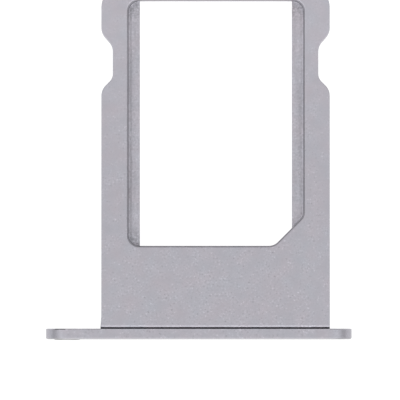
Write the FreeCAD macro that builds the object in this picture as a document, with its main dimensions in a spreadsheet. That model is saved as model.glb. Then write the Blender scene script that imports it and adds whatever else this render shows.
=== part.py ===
import FreeCAD, Part
import Sketcher
import os

# Tray for one nano-size SIM card, machined from one block of aluminium. Millimetres and degrees.
# X runs along the face plate, Y from the face plate to the far end, and Z is up.
# The body is drawn about the middle of the plate's inner face, and placed so that the origin is
# the centre of the bottom of its box.

sizes = {
    # card, and the room that it has in the pocket
    "card_width": 8.8,
    "card_length": 12.3,
    "card_thickness": 0.67,
    "card_gap_side": 0.06,
    "card_gap_end": 0.08,
    "card_headroom": 0.03,
    # pocket, with a ledge under each long side of the card and a cut corner that keys it
    "ledge_width": 0.59,
    "key_leg": 1.51,
    "pocket_corner_radius": 0.55,
    "key_corner_radius": 0.65,
    "pocket_root_radius": 0.05,
    "mouth_break": 0.12,
    # carrier, the flat frame behind the face plate; its middle is beside and above the plate's
    "carrier_width": 11.6,
    "carrier_thickness": 1.1,
    "carrier_offset": 0.85,
    "carrier_rise": 0.375,
    "near_bar": 4.21,
    "far_bar": 0.72,
    "pocket_offset": 0.02,
    "far_corner_radius": 1.05,
    "edge_break": 0.05,
    "flare_width": 0.05,
    "flare_length": 0.6,
    # catch notches, one in each long side
    "notch_depth": 0.58,
    "notch_centre": 13.55,
    "notch_width": 2.25,
    "notch_near_angle": 45.0,
    "notch_far_angle": 41.0,
    "notch_mouth_radius": 0.7,
    "notch_near_radius": 0.55,
    "notch_far_radius": 0.75,
    # face plate
    "plate_width": 15.56,
    "plate_height": 2.15,
    "plate_thickness": 0.54,
    "plate_outer_round": 0.09,
    "plate_inner_round": 0.05,
    # eject hole, with a thin raised lip round it
    "hole_diameter": 1.15,
    "hole_inset": 1.075,
    "lip_width": 0.07,
    "lip_height": 0.04,
    "lip_round": 0.025,
    # relief groove where the carrier meets the plate, above and below
    "groove_width": 0.08,
    "groove_depth": 0.25,
    "groove_bevel_width": 0.1,
    "groove_bevel_drop": 0.035,
}

part_name = "sim_card_tray"
tolerance = 1e-4

doc = FreeCAD.newDocument("tray")
sheet = doc.addObject("Spreadsheet::Sheet", "sizes")
for row, (alias, value) in enumerate(sizes.items(), start=1):
    sheet.set(f"A{row}", alias)
    sheet.set(f"B{row}", str(value))
    sheet.setAlias(f"B{row}", alias)
doc.recompute()

body = doc.addObject("PartDesign::Body", part_name)
body.Label = part_name

# Places that several features share
carrier_left = "(sizes.carrier_offset - sizes.carrier_width / 2)"
carrier_right = "(sizes.carrier_offset + sizes.carrier_width / 2)"
carrier_top = "(sizes.carrier_rise + sizes.carrier_thickness / 2)"
carrier_bottom = "(sizes.carrier_rise - sizes.carrier_thickness / 2)"
pocket_middle = "(sizes.carrier_offset + sizes.pocket_offset)"
pocket_half_width = "(sizes.card_width / 2 + sizes.card_gap_side)"
pocket_depth = "(sizes.card_thickness + sizes.card_headroom)"
pocket_left = f"({pocket_middle} - {pocket_half_width})"
pocket_right = f"({pocket_middle} + {pocket_half_width})"
pocket_near = "sizes.near_bar"
pocket_far = "(sizes.near_bar + sizes.card_length + 2 * sizes.card_gap_end)"
carrier_far = f"({pocket_far} + sizes.far_bar)"
key_on_near_wall = (f"({pocket_right} - sizes.key_leg)", pocket_near)
key_on_right_wall = (pocket_right, f"({pocket_near} + sizes.key_leg)")
window_left = f"({pocket_left} + sizes.ledge_width)"
window_right = f"({pocket_right} - sizes.ledge_width)"
thinnest_rail = f"({carrier_right} - sizes.notch_depth - {pocket_right})"
plate_end_radius = "(sizes.plate_height / 2)"
hole_x = "(sizes.hole_inset - sizes.plate_width / 2)"


def worth(expression):
    return float(sheet.evalExpression(expression))


def recompute():
    doc.recompute()
    for item in doc.Objects:
        if "Invalid" in item.State or "Error" in item.State:
            raise RuntimeError(f"{item.Name} failed: {item.State}")


# Sketches, with every point held by the sheet

def new_sketch(name, role, offset=None):
    sketch = body.newObject("Sketcher::SketchObject", name)
    plane = [item for item in body.Origin.OriginFeatures if item.Role == role][0]
    sketch.AttachmentSupport = [(plane, "")]
    sketch.MapMode = "FlatFace"
    if offset:
        sketch.setExpression(".AttachmentOffset.Base.z", offset)
    return sketch


def hold(sketch, kind, where, expression):
    number = sketch.addConstraint(Sketcher.Constraint(kind, *where, worth(expression)))
    sketch.setExpression(f"Constraints[{number}]", expression)


def draw_polygon(sketch, corners):
    points = [FreeCAD.Vector(worth(x), worth(y), 0) for x, y in corners]
    ends = points[1:] + points[:1]
    lines = [sketch.addGeometry(Part.LineSegment(a, b), False) for a, b in zip(points, ends)]
    for line, following in zip(lines, lines[1:] + lines[:1]):
        sketch.addConstraint(Sketcher.Constraint("Coincident", line, 2, following, 1))
    for line, (x, y) in zip(lines, corners):
        hold(sketch, "DistanceX", (-1, 1, line, 1), x)
        hold(sketch, "DistanceY", (-1, 1, line, 1), y)


def draw_circle(sketch, x, radius):
    centre = FreeCAD.Vector(worth(x), 0, 0)
    circle = sketch.addGeometry(Part.Circle(centre, FreeCAD.Vector(0, 0, 1), worth(radius)), False)
    sketch.addConstraint(Sketcher.Constraint("PointOnObject", circle, 3, -1))
    hold(sketch, "DistanceX", (-1, 1, circle, 3), x)
    hold(sketch, "Radius", (circle,), radius)


def draw_slot(sketch, width, end_radius):
    # straight above and below, with a half circle at each end
    reach = f"({width} / 2 - {end_radius})"
    x, r = worth(reach), worth(end_radius)
    top_line = Part.LineSegment(FreeCAD.Vector(x, r, 0), FreeCAD.Vector(-x, r, 0))
    low_line = Part.LineSegment(FreeCAD.Vector(-x, -r, 0), FreeCAD.Vector(x, -r, 0))
    ends = []
    for centre, start in ((-x, 90), (x, 270)):
        circle = Part.Circle(FreeCAD.Vector(centre, 0, 0), FreeCAD.Vector(0, 0, 1), r)
        first = FreeCAD.Units.Quantity(start, "deg").getValueAs("rad").Value
        last = FreeCAD.Units.Quantity(start + 180, "deg").getValueAs("rad").Value
        ends.append(Part.ArcOfCircle(circle, first, last))
    loop = [sketch.addGeometry(item, False) for item in (top_line, ends[0], low_line, ends[1])]
    for item, following in zip(loop, loop[1:] + loop[:1]):
        sketch.addConstraint(Sketcher.Constraint("Tangent", item, 2, following, 1))
    for arc, side in ((loop[1], "-1"), (loop[3], "1")):
        sketch.addConstraint(Sketcher.Constraint("PointOnObject", arc, 3, -1))
        hold(sketch, "DistanceX", (-1, 1, arc, 3), f"{side} * {reach}")
        hold(sketch, "Radius", (arc,), end_radius)


# Features, each checked against what it should do to the solid

def extrude(kind, name, sketch, length=None, both_ways=False):
    before = body.Shape.Volume if body.Tip else 0.0
    feature = body.newObject(f"PartDesign::{kind}", name)
    feature.Profile = sketch
    if length:
        feature.setExpression("Length", length)
    else:
        feature.Type = "ThroughAll"
    feature.Midplane = both_ways
    recompute()
    change = body.Shape.Volume - before
    if (change > 0) != (kind == "Pad") or abs(change) < tolerance:
        raise RuntimeError(f"{name} changed the volume by {change}")


def round_edges(name, edges, radius, count=None):
    if not edges or (count and len(edges) != count):
        raise RuntimeError(f"{name} found {len(edges)} edges")
    base = body.Tip
    feature = body.newObject("PartDesign::Fillet", name)
    feature.Base = (base, edges)
    feature.setExpression("Radius", radius)
    recompute()


def edges_where(test):
    numbered = enumerate(body.Shape.Edges, start=1)
    return [f"Edge{number}" for number, edge in numbered if test(edge.BoundBox)]


def same(a, b):
    return abs(a - b) < tolerance


def upright_at(places):
    spots = [(worth(x), worth(y)) for x, y in places]

    def test(box):
        upright = same(box.XMin, box.XMax) and same(box.YMin, box.YMax)
        return upright and any(same(box.XMin, x) and same(box.YMin, y) for x, y in spots)

    return edges_where(test)


def flat_at(box, level):
    return same(box.ZMin, level) and same(box.ZMax, level)


def across_at(box, level):
    return same(box.YMin, level) and same(box.YMax, level)


def within_pocket(box):
    across = worth(pocket_left) - tolerance < box.XMin and box.XMax < worth(pocket_right) + tolerance
    along = worth(pocket_near) - tolerance < box.YMin and box.YMax < worth(pocket_far) + tolerance
    return across and along


# Face plate: a slot-shaped bar with its outer edge rounder than its inner one. It comes first, so
# that both edges are rounded all the way along before the carrier meets the plate.

def make_plate():
    sketch = new_sketch("plate_outline", "XZ_Plane")
    draw_slot(sketch, "sizes.plate_width", plate_end_radius)
    extrude("Pad", "face_plate", sketch, "sizes.plate_thickness")
    rounds = (
        ("plate_outer_edge", worth("-sizes.plate_thickness"), "sizes.plate_outer_round"),
        ("plate_inner_edge", 0, "sizes.plate_inner_round"),
    )
    for name, level, radius in rounds:
        round_edges(name, edges_where(lambda box: across_at(box, level)), radius, 4)


# Carrier: a flat frame with round far corners, a catch notch in each long side and broken edges

def side_of_carrier(x, inwards):
    floor = f"({x} + {inwards} * sizes.notch_depth)"
    near_mid = "(sizes.notch_centre - sizes.notch_width / 2)"
    far_mid = "(sizes.notch_centre + sizes.notch_width / 2)"
    near_run = "(sizes.notch_depth / 2 / tan(sizes.notch_near_angle * 1 deg))"
    far_run = "(sizes.notch_depth / 2 / tan(sizes.notch_far_angle * 1 deg))"
    return {
        "mouth_near": (x, f"({near_mid} - {near_run})"),
        "floor_near": (floor, f"({near_mid} + {near_run})"),
        "floor_far": (floor, f"({far_mid} - {far_run})"),
        "mouth_far": (x, f"({far_mid} + {far_run})"),
        "end": (x, carrier_far),
    }


def make_carrier():
    left = side_of_carrier(carrier_left, "1")
    right = side_of_carrier(carrier_right, "-1")
    flare = [(f"({carrier_left} - sizes.flare_width)", "0"), (carrier_left, "sizes.flare_length")]
    corners = flare + list(left.values()) + list(right.values())[::-1] + [(carrier_right, "0")]
    sketch = new_sketch("carrier_outline", "XY_Plane", "sizes.carrier_rise")
    draw_polygon(sketch, corners)
    extrude("Pad", "carrier", sketch, "sizes.carrier_thickness", both_ways=True)
    rounds = (
        ("far_corners", ("end",), "sizes.far_corner_radius"),
        ("notch_mouths", ("mouth_near", "mouth_far"), "sizes.notch_mouth_radius"),
        ("notch_floors_near", ("floor_near",), "sizes.notch_near_radius"),
        ("notch_floors_far", ("floor_far",), "sizes.notch_far_radius"),
    )
    for name, places, radius in rounds:
        spots = [side[place] for side in (left, right) for place in places]
        round_edges(name, upright_at(spots), radius, len(spots))
    top, bottom = worth(carrier_top), worth(carrier_bottom)

    def on_rim(box):
        return (flat_at(box, top) or flat_at(box, bottom)) and not across_at(box, 0)

    round_edges("carrier_edges", edges_where(on_rim), "sizes.edge_break")


# Eject hole through the plate beside the carrier, with its raised lip on the outer face

def make_eject_hole():
    lip = new_sketch("lip_outline", "XZ_Plane", "sizes.plate_thickness")
    draw_circle(lip, hole_x, "(sizes.hole_diameter / 2 + sizes.lip_width)")
    extrude("Pad", "lip", lip, "sizes.lip_height")
    hole = new_sketch("hole_outline", "XZ_Plane")
    draw_circle(hole, hole_x, "(sizes.hole_diameter / 2)")
    extrude("Pocket", "eject_hole", hole, both_ways=True)
    crest = -worth("sizes.plate_thickness + sizes.lip_height")
    round_edges("lip_edges", edges_where(lambda box: across_at(box, crest)), "sizes.lip_round", 2)


# Card pocket from above, and the window under it that leaves the two ledges

def make_pocket():
    pocket_corners = [
        (pocket_left, pocket_near),
        key_on_right_wall,
        (pocket_right, pocket_far),
        (pocket_left, pocket_far),
    ]
    pocket = new_sketch("pocket_outline", "XY_Plane", carrier_top)
    draw_polygon(pocket, pocket_corners[:1] + [key_on_near_wall] + pocket_corners[1:])
    extrude("Pocket", "card_pocket", pocket, pocket_depth)
    window = new_sketch("window_outline", "XY_Plane", carrier_top)
    draw_polygon(window, [
        (window_left, pocket_near),
        key_on_near_wall,
        (window_right, f"({pocket_near} + sizes.key_leg - sizes.ledge_width)"),
        (window_right, pocket_far),
        (window_left, pocket_far),
    ])
    extrude("Pocket", "window", window)
    round_edges("pocket_corners", upright_at(pocket_corners), "sizes.pocket_corner_radius", 4)
    round_edges("key_corner", upright_at([key_on_near_wall]), "sizes.key_corner_radius", 1)

    ledge = worth(f"{carrier_top} - {pocket_depth}")
    window_sides = (worth(window_left), worth(window_right))

    def at_root(box):
        on_side = any(same(box.XMin, x) and same(box.XMax, x) for x in window_sides)
        return flat_at(box, ledge) and not on_side

    round_edges("pocket_root", edges_where(at_root), "sizes.pocket_root_radius")
    # the mouth's round takes at most half of the rail between the pocket and a notch
    mouths = (
        ("mouth_above", carrier_top, f"min(sizes.mouth_break; {thinnest_rail} / 2)"),
        ("mouth_below", carrier_bottom, "sizes.edge_break"),
    )
    for name, level, radius in mouths:
        rim = edges_where(lambda box: flat_at(box, worth(level)) and within_pocket(box))
        round_edges(name, rim, radius)


# Relief groove along the plate, with a shallow bevel on the carrier's side of it

def make_groove():
    sketch = new_sketch("groove_section", "YZ_Plane")
    for up, face in (("1", carrier_top), ("-1", carrier_bottom)):
        clear = f"({up} * {plate_end_radius})"
        floor = f"({face} - {up} * sizes.groove_depth)"
        bevel_foot = f"({face} - {up} * sizes.groove_bevel_drop)"
        bevel_end = "(sizes.groove_width + sizes.groove_bevel_width)"
        draw_polygon(sketch, [
            ("0", clear),
            ("0", floor),
            ("sizes.groove_width", floor),
            ("sizes.groove_width", bevel_foot),
            (bevel_end, face),
            (bevel_end, clear),
        ])
    extrude("Pocket", "relief_groove", sketch, both_ways=True)


make_plate()
make_carrier()
make_eject_hole()
make_pocket()
make_groove()

body.setExpression(".Placement.Base.y", f"(sizes.plate_thickness + sizes.lip_height - {carrier_far}) / 2")
body.setExpression(".Placement.Base.z", plate_end_radius)
recompute()

if body.Shape.isNull() or not body.Shape.isValid() or len(body.Shape.Solids) != 1:
    raise RuntimeError(f"{body.Label} is not one sound solid")
os.makedirs("parts", exist_ok=True)
body.Shape.exportStep(f"parts/{body.Label}.step")
print(body.Label, body.Shape.optimalBoundingBox(), f"volume {body.Shape.Volume:.2f}")
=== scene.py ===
from math import atan2, cos, hypot, radians, sin

import bpy
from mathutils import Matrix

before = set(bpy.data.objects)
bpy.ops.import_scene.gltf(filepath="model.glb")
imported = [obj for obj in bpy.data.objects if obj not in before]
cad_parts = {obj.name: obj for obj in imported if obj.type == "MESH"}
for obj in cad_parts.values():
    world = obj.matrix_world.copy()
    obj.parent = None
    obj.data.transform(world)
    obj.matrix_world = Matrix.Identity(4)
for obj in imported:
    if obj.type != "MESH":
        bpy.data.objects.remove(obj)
bpy.context.view_layer.update()
mm = 0.001  # sizes below are in millimetres unless a note says otherwise, and this turns them into metres
print("frame loaded:", ", ".join(sorted(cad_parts)))


# Camera above the tray, leaning a little towards the face plate, as in the photograph

camera = {
    "middle": (0.06, -1.872),  # the point of the carrier's top face in the middle of the picture
    "carrierTop": 2.0,
    "frameWidth": 20.305,      # what the picture's width takes in, at that face
    "distance": 300.0,
    "lean": 1.0,               # degrees
    "sensor": 36.0,
    "clipNear": 10.0,
    "clipFar": 10000.0,
}


def makeCamera():
    x, y = camera["middle"]
    lean = radians(camera["lean"])
    back = camera["distance"] * sin(lean)
    height = camera["carrierTop"] + camera["distance"] * cos(lean)
    bpy.ops.object.camera_add(location=(x * mm, (y - back) * mm, height * mm), rotation=(lean, 0, 0))
    viewer = bpy.context.object
    viewer.name = "camera"
    viewer.data.sensor_width = camera["sensor"]
    viewer.data.lens = camera["sensor"] * camera["distance"] / camera["frameWidth"]
    viewer.data.clip_start = camera["clipNear"] * mm
    viewer.data.clip_end = camera["clipFar"] * mm
    bpy.context.scene.camera = viewer


makeCamera()
print("camera placed")


# Small helpers for the node trees

def addNode(tree, kind, label, inputs=(), **settings):
    # inputs holds pairs of a socket's name or number and either a value or the socket to link to it
    node = tree.nodes.new(kind)
    node.label = label
    for key, value in settings.items():
        setattr(node, key, value)
    for socket, value in inputs:
        if isinstance(value, bpy.types.NodeSocket):
            tree.links.new(value, node.inputs[socket])
        else:
            node.inputs[socket].default_value = value
    return node.outputs[0]


def addMath(tree, label, operation, *values):
    return addNode(tree, "ShaderNodeMath", label, tuple(enumerate(values)), operation=operation)


def addVectorMath(tree, label, operation, *values):
    return addNode(tree, "ShaderNodeVectorMath", label, tuple(enumerate(values)), operation=operation)


def addRange(tree, label, value, fromRange, toRange):
    inputs = ((0, value), (1, fromRange[0]), (2, fromRange[1]), (3, toRange[0]), (4, toRange[1]))
    return addNode(tree, "ShaderNodeMapRange", label, inputs)


def addRamp(tree, label, value, stops):
    # stops holds pairs of a value from 0 to 1 and the colour, or the tone of grey, that it gets
    ramp = tree.nodes.new("ShaderNodeValToRGB")
    ramp.label = label
    tree.links.new(value, ramp.inputs[0])
    marks = ramp.color_ramp.elements
    marks[0].position = stops[0][0]
    marks[1].position = stops[-1][0]
    for position, colour in stops[1:-1]:
        marks.new(position)
    for mark, (position, colour) in zip(marks, stops):
        mark.color = colour if isinstance(colour, tuple) else (colour, colour, colour, 1)
    return ramp.outputs[0]


def splitVector(tree, vector):
    split = tree.nodes.new("ShaderNodeSeparateXYZ")
    tree.links.new(vector, split.inputs[0])
    return split.outputs


def addLean(tree, label, vector, direction):
    # how far the vector reaches along the direction
    return addVectorMath(tree, label, "DOT_PRODUCT", vector, direction).node.outputs["Value"]


def addLength(tree, label, vector):
    return addVectorMath(tree, label, "LENGTH", vector).node.outputs["Value"]


# Soft studio light: a white tent, brightest a little off the vertical and darker at the horizon,
# with more light from the front and from the left than from the back and the right

tent = {
    "strength": 1.15,
    "bands": ((0.0, 0.56), (0.35, 0.62), (0.62, 0.86), (0.84, 1.08), (1.0, 0.8)),  # height, brightness
    "drift": (-0.03, -0.45, 0.0),  # how much more light comes from each side, per axis
}
frontBox = {"place": (0.0, -800.0, 600.0), "size": 500.0, "power": 0.3}  # W


def makeTent():
    world = bpy.data.worlds.new("tent")
    world.use_nodes = True
    bpy.context.scene.world = world
    tree = world.node_tree
    direction = tree.nodes.new("ShaderNodeTexCoord").outputs["Generated"]
    bands = addRamp(tree, "bands of the tent", splitVector(tree, direction)["Z"], tent["bands"])
    drift = addMath(tree, "sideways drift", "ADD", addLean(tree, "drift", direction, tent["drift"]), 1.0)
    strength = addMath(tree, "strength", "MULTIPLY", drift, tent["strength"])
    background = tree.nodes["Background"]
    tree.links.new(bands, background.inputs["Color"])
    tree.links.new(strength, background.inputs["Strength"])


def makeFrontBox():
    x, y, z = frontBox["place"]
    tilt = atan2(hypot(x, y), z)
    bpy.ops.object.light_add(type="AREA", location=(x * mm, y * mm, z * mm), rotation=(tilt, 0, 0))
    box = bpy.context.object
    box.name = "frontBox"
    box.data.size = frontBox["size"] * mm
    box.data.energy = frontBox["power"]


makeTent()
makeFrontBox()
bpy.context.scene.view_settings.view_transform = "Standard"
print("studio lit")


# Floor: a pale sheet that glows a little, as a light table does, so that it stays white under the tray

floor = {"side": 4000.0, "colour": (0.2, 0.2, 0.2, 1.0), "roughness": 0.9, "glow": 0.95}


def makeFloor():
    bpy.ops.mesh.primitive_plane_add(size=floor["side"] * mm)
    sheet = bpy.context.object
    sheet.name = "floor"
    material = bpy.data.materials.new("paleFloor")
    material.use_nodes = True
    shader = material.node_tree.nodes["Principled BSDF"]
    shader.inputs["Base Color"].default_value = floor["colour"]
    shader.inputs["Roughness"].default_value = floor["roughness"]
    shader.inputs["Specular IOR Level"].default_value = 0.0
    shader.inputs["Emission Color"].default_value = (1, 1, 1, 1)
    shader.inputs["Emission Strength"].default_value = floor["glow"]
    sheet.data.materials.append(material)


makeFloor()
print("floor laid")


# Anodised aluminium, bead-blasted all over. The two ledges keep the streaks and nicks of the cutter, and
# painted shade and painted highlights lie on a few cut faces, along the ledges and on the plate's ends and
# front. Places are in the object's own millimetres.

aluminium = {
    "warm": (0.463, 0.4375, 0.4795, 1.0),
    "cool": (0.439, 0.4395, 0.4845, 1.0),
    "tintScale": 0.9,       # per mm, of the slow drift between the two greys
    "tintSpan": (0.28, 0.72),  # noise that gives the warm and the cool grey
    "roughness": 0.35,
    "noiseDetail": 2.0,
    "noiseRoughness": 0.6,
    "speckScale": 10.0,     # per mm
    "specks": ((0.25, 0.65), (0.42, 1.0), (0.58, 1.0), (0.75, 1.37)),  # noise, tone
    "speckHeight": 0.003,
    "carrierMiddle": 0.85,
    "smoothSpan": (3.0, 6.0),  # the specks thin out over this distance from the carrier's middle
    "smoothSpecks": 0.5,    # what is left of them at its end
    "patchSpan": (0.38, 0.62),  # from thin patches of specks to thick ones, by the clouds' noise
    "patchSpecks": (0.3, 1.5),
    "cloudScale": 1.6,      # per mm
    "cloudTone": 0.075,
    "paleSpan": (-2.4, 6.5),  # the grey grows paler from here to the far end
    "paleBend": 2.0,
    "paleTone": 0.067,
    "shadedEndSpan": (6.95, 7.6),  # and darker over this distance towards the plate's two ends, as painted shade
    "paintedEndShade": 0.88,
}
frontFace = {
    "from": -8.9,           # past the plate's rounded edges
    "grey": (0.466, 0.462, 0.471, 1.0),
    "specks": 0.3,          # what is left of the specks and the clouds there
    "holeMiddle": (-6.705, 1.075),
    "rimSpan": (0.59, 0.65),  # distance from the hole's middle, for the painted shade of the rim
    "paintedRimShade": 0.75,
    "topSpan": (1.7, 2.0),  # height, for the painted shade along the top of the face
    "paintedTopShade": 0.93,
}
ledges = {
    "middle": (0.87, 2.035, 1.3),
    "halfSize": (4.46, 6.23, 0.06),
    "streakScale": 4.0,     # per mm, across the pocket
    "streakStretch": 0.1,   # along the pocket
    "streakTone": 0.17,
    "nickScale": 9.0,       # per mm
    "nickDetail": 3.0,
    "nickTone": 0.26,
    "nickHeight": 0.012,
    "cornerRadius": 0.62,
    "keyAngle": 45.0,       # degrees
    "keyDistance": 6.491,   # from the pocket's middle to the slanting wall of the keyed corner
    "wallReach": 0.12,      # a painted highlight, a thin pale line, runs along the foot of the wall
    "paintedHighlightTones": ((0.0, 1.0), (0.5, 1.14), (1.0, 1.0)),  # share of the reach, tone
    "cornerSpan": (-0.4, 0.1),  # from the plain ledge to the stippled corners with painted shade, past their rounds' centres
    "stippleAndShadeTones": ((0.3, 0.7), (0.5, 0.88), (0.7, 1.08)),  # noise, tone of the stipple and painted shade
}
# painted shade on the pocket walls, at the foot of the left wall, in the relief groove, at the start of the
# bevels and on the edge by the hole; painted highlights on the edge of the bevels and on the inner edge of
# the plate
paintedShadeAndHighlights = {
    "pocket walls": {"middle": (0.87, 2.035, 1.65), "halfSize": (4.58, 6.35, 0.335), "tone": 0.68},
    "foot of the left wall": {"middle": (-3.49, 2.035, 1.3), "halfSize": (0.09, 6.23, 0.06), "tone": 0.87},
    "relief groove": {"middle": (0.85, -8.365, 1.45), "halfSize": (5.83, 0.045, 0.515), "tone": 0.12},
    "start of the bevels": {"middle": (0.85, -8.245, 1.45), "halfSize": (5.78, 0.026, 0.549), "tone": 0.965},
    "edge of the bevels": {"middle": (0.85, -8.297, 1.45), "halfSize": (5.78, 0.026, 0.549), "tone": 1.49},
    "inner edge of the plate": {"middle": (0.85, -8.43, 2.125), "halfSize": (5.8, 0.028, 0.03), "tone": 1.38},
    "edge by the hole": {"middle": (-7.045, -8.435, 2.05), "halfSize": (0.265, 0.023, 0.12), "tone": 0.4},
}


def addNoise(tree, label, vector, scale, detail=aluminium["noiseDetail"]):
    roughness = aluminium["noiseRoughness"]
    return addNode(tree, "ShaderNodeTexNoise", label,
                   (("Vector", vector), ("Scale", scale), ("Detail", detail), ("Roughness", roughness)))


def findBox(tree, label, inMm, box):
    # 1 inside the box and 0 everywhere else
    inside = 1.0
    for axis, place, middle, half in zip("XYZ", splitVector(tree, inMm), box["middle"], box["halfSize"]):
        near = addMath(tree, label + " along " + axis, "COMPARE", place, middle, half)
        inside = addMath(tree, label, "MULTIPLY", near, inside)
    return inside


def toneBy(tree, label, noise, amount):
    # from 1 - amount to 1 + amount, where the noise goes from 0 to 1
    return addMath(tree, label, "MULTIPLY_ADD", noise, 2 * amount, 1 - amount)


def toneInside(tree, label, inside, tone):
    return addNode(tree, "ShaderNodeMix", label, ((0, inside), (2, 1.0), (3, tone)))


def multiplyAll(tree, label, factors):
    product = factors[0]
    for factor in factors[1:]:
        product = addMath(tree, label, "MULTIPLY", product, factor)
    return product


def distanceAlongX(tree, inMm, middle):
    x = splitVector(tree, inMm)["X"]
    return addMath(tree, "either side", "ABSOLUTE", addMath(tree, "from the middle", "SUBTRACT", x, middle))


def speckleTone(tree, inMm, specks, clouds, towardsFarEnd, onFront):
    # fine light and dark specks, thick in some clouds and thin near the outer edges and at the far end
    fromMiddle = distanceAlongX(tree, inMm, aluminium["carrierMiddle"])
    smooth = (1.0, aluminium["smoothSpecks"])
    outwards = addRange(tree, "thinner outwards", fromMiddle, aluminium["smoothSpan"], smooth)
    farther = addRange(tree, "thinner at the far end", towardsFarEnd, (0.0, 1.0), smooth)
    inFront = addRange(tree, "thinner on the front", onFront, (0.0, 1.0), (1.0, frontFace["specks"]))
    patches = addRange(tree, "thicker in patches", clouds, aluminium["patchSpan"], aluminium["patchSpecks"])
    thickness = multiplyAll(tree, "thickness of the specks", (outwards, farther, inFront, patches))
    speckTone = addRamp(tree, "specks", specks, aluminium["specks"])
    cloudTone = toneBy(tree, "tone of the clouds", clouds, aluminium["cloudTone"])
    return multiplyAll(tree, "tone of the grain", (
        toneInside(tree, "tone of the specks", thickness, speckTone),
        toneInside(tree, "clouds", inFront, cloudTone)))


def paintedFrontShade(tree, inMm):
    # painted shade: a dark rim round the eject hole, and a darker band along the top of the face
    holeX, holeZ = frontFace["holeMiddle"]
    fromHole = addNode(tree, "ShaderNodeMapping", "from the hole's middle",
                       (("Vector", inMm), ("Location", (-holeX, 0, -holeZ)), ("Scale", (1, 0, 1))))
    distance = addLength(tree, "distance from the hole", fromHole)
    height = splitVector(tree, inMm)["Z"]
    rim = addRange(tree, "painted shade round the hole", distance, frontFace["rimSpan"], (frontFace["paintedRimShade"], 1.0))
    top = addRange(tree, "painted shade along the top of the face", height, frontFace["topSpan"], (1.0, frontFace["paintedTopShade"]))
    return addMath(tree, "tone of the front", "MULTIPLY", rim, top)


def measurePocket(tree, inMm):
    # how far the pocket's wall is, and how deep in a corner the place is, in mm
    radius = ledges["cornerRadius"]
    middleX, middleY = ledges["middle"][:2]
    halfX, halfY = ledges["halfSize"][:2]
    keyAngle = radians(ledges["keyAngle"])
    flat = addNode(tree, "ShaderNodeMapping", "from the pocket's middle",
                   (("Vector", inMm), ("Location", (-middleX, -middleY, 0)), ("Scale", (1, 1, 0))))
    anySide = addVectorMath(tree, "any side", "ABSOLUTE", flat)
    centre = (halfX - radius, halfY - radius, 0)
    past = addVectorMath(tree, "past the corner's centre", "SUBTRACT", anySide, centre)
    pastX, pastY = splitVector(tree, past)[:2]
    onlyPast = addVectorMath(tree, "only past it", "MAXIMUM", past, (0, 0, 0))
    rounding = addLength(tree, "corner's round", onlyPast)
    nearerWall = addMath(tree, "nearer wall", "MAXIMUM", pastX, pastY)
    straight = addMath(tree, "straight walls", "MINIMUM", nearerWall, 0.0)
    outwards = addMath(tree, "outwards from the centre", "ADD", rounding, straight)
    toEdge = addMath(tree, "to the wall", "SUBTRACT", radius, outwards)
    slant = addLean(tree, "towards the key", flat, (sin(keyAngle), -cos(keyAngle), 0))
    toKey = addMath(tree, "to the keyed corner", "SUBTRACT", ledges["keyDistance"], slant)
    return (addMath(tree, "to the nearest wall", "MINIMUM", toEdge, toKey),
            addMath(tree, "depth in the corner", "MINIMUM", pastX, pastY))


def ledgeTone(tree, inMm, streaks, nicks):
    toWall, inCorner = measurePocket(tree, inMm)
    share = addMath(tree, "share of the reach", "DIVIDE", toWall, ledges["wallReach"])
    cornerDepth = addRange(tree, "in a corner", inCorner, ledges["cornerSpan"], (0.0, 1.0))
    cornerTone = addRamp(tree, "stipple and painted shade of the corners", nicks, ledges["stippleAndShadeTones"])
    return multiplyAll(tree, "tone of the ledges", (
        toneBy(tree, "tone of the streaks", streaks, ledges["streakTone"]),
        toneBy(tree, "tone of the nicks", nicks, ledges["nickTone"]),
        # painted highlight along the foot of the walls
        addRamp(tree, "painted highlight along the wall", share, ledges["paintedHighlightTones"]),
        # stipple with painted shade in the pocket's corners
        toneInside(tree, "painted shade and stipple in the corners", cornerDepth, cornerTone)))


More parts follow.
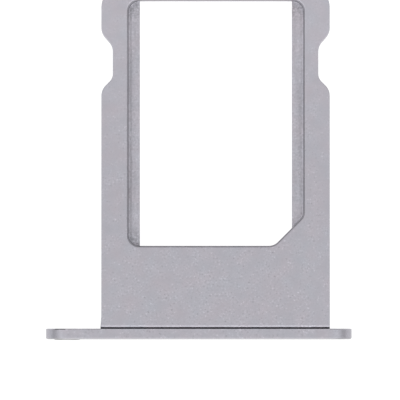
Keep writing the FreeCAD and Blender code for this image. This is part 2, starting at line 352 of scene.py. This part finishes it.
def makeAluminium():
    material = bpy.data.materials.new("blastedAluminium")
    material.use_nodes = True
    tree = material.node_tree
    shader = tree.nodes["Principled BSDF"]
    place = tree.nodes.new("ShaderNodeTexCoord").outputs["Object"]
    inMm = addNode(tree, "ShaderNodeMapping", "in millimetres",
                   (("Vector", place), ("Scale", (1 / mm, 1 / mm, 1 / mm))))
    alongPocket = addNode(tree, "ShaderNodeMapping", "stretched along the pocket",
                          (("Vector", inMm), ("Scale", (1.0, ledges["streakStretch"], 1.0))))
    tint = addNoise(tree, "tint", inMm, aluminium["tintScale"])
    specks = addNoise(tree, "specks", inMm, aluminium["speckScale"])
    clouds = addNoise(tree, "clouds", inMm, aluminium["cloudScale"])
    streaks = addNoise(tree, "streaks", alongPocket, ledges["streakScale"])
    nicks = addNoise(tree, "nicks", inMm, ledges["nickScale"], ledges["nickDetail"])
    y = splitVector(tree, inMm)["Y"]
    onLedges = findBox(tree, "on the ledges", inMm, ledges)
    onFront = addMath(tree, "on the front face", "LESS_THAN", y, frontFace["from"])
    towardsFarEnd = addRange(tree, "towards the far end", y, aluminium["paleSpan"], (0.0, 1.0))

    warmFrom, coolFrom = aluminium["tintSpan"]
    allOver = addRamp(tree, "grey", tint, ((warmFrom, aluminium["warm"]), (coolFrom, aluminium["cool"])))
    greys = ((0, onFront), (1, allOver), (2, frontFace["grey"]))
    grey = addNode(tree, "ShaderNodeMixRGB", "grey of the front", greys)
    fromMiddle = distanceAlongX(tree, inMm, 0.0)
    paleness = addMath(tree, "paleness", "POWER", towardsFarEnd, aluminium["paleBend"])
    tones = [
        speckleTone(tree, inMm, specks, clouds, towardsFarEnd, onFront),
        # painted shade at the plate's two ends
        addRange(tree, "painted shade at the plate ends", fromMiddle, aluminium["shadedEndSpan"], (1.0, aluminium["paintedEndShade"])),
        addMath(tree, "paler far end", "MULTIPLY_ADD", paleness, aluminium["paleTone"], 1.0),
        # cutter streaks and nicks, with a painted highlight along the walls and painted shade in the corners
        toneInside(tree, "cut marks and painted light on the ledges", onLedges, ledgeTone(tree, inMm, streaks, nicks)),
        # painted shade on the front face, round the eject hole and along its top
        toneInside(tree, "painted shade on the front face", onFront, paintedFrontShade(tree, inMm)),
    ]
    # painted shade and painted highlights, one box each
    for label, box in paintedShadeAndHighlights.items():
        tones.append(toneInside(tree, "tone of the " + label, findBox(tree, label, inMm, box), box["tone"]))
    tone = multiplyAll(tree, "tone", tones)
    shaded = addNode(tree, "ShaderNodeVectorMath", "shaded grey", ((0, grey), (3, tone)), operation="SCALE")

    speckHeight = aluminium["speckHeight"] * mm
    nickHeight = ledges["nickHeight"] * mm
    speckRelief = addNode(tree, "ShaderNodeBump", "relief of the specks",
                          (("Height", specks), ("Distance", speckHeight)))
    nicksOnLedges = addMath(tree, "nicks on the ledges", "MULTIPLY", nicks, onLedges)
    relief = addNode(tree, "ShaderNodeBump", "relief of the nicks",
                     (("Height", nicksOnLedges), ("Distance", nickHeight), ("Normal", speckRelief)))
    tree.links.new(shaded, shader.inputs["Base Color"])
    tree.links.new(relief, shader.inputs["Normal"])
    shader.inputs["Metallic"].default_value = 1.0
    shader.inputs["Roughness"].default_value = aluminium["roughness"]
    return material


tray = bpy.data.objects["sim_card_tray"]
tray.material_slots[0].material = makeAluminium()
print("tray coloured")


# Bring the scene up to date

bpy.context.view_layer.update()
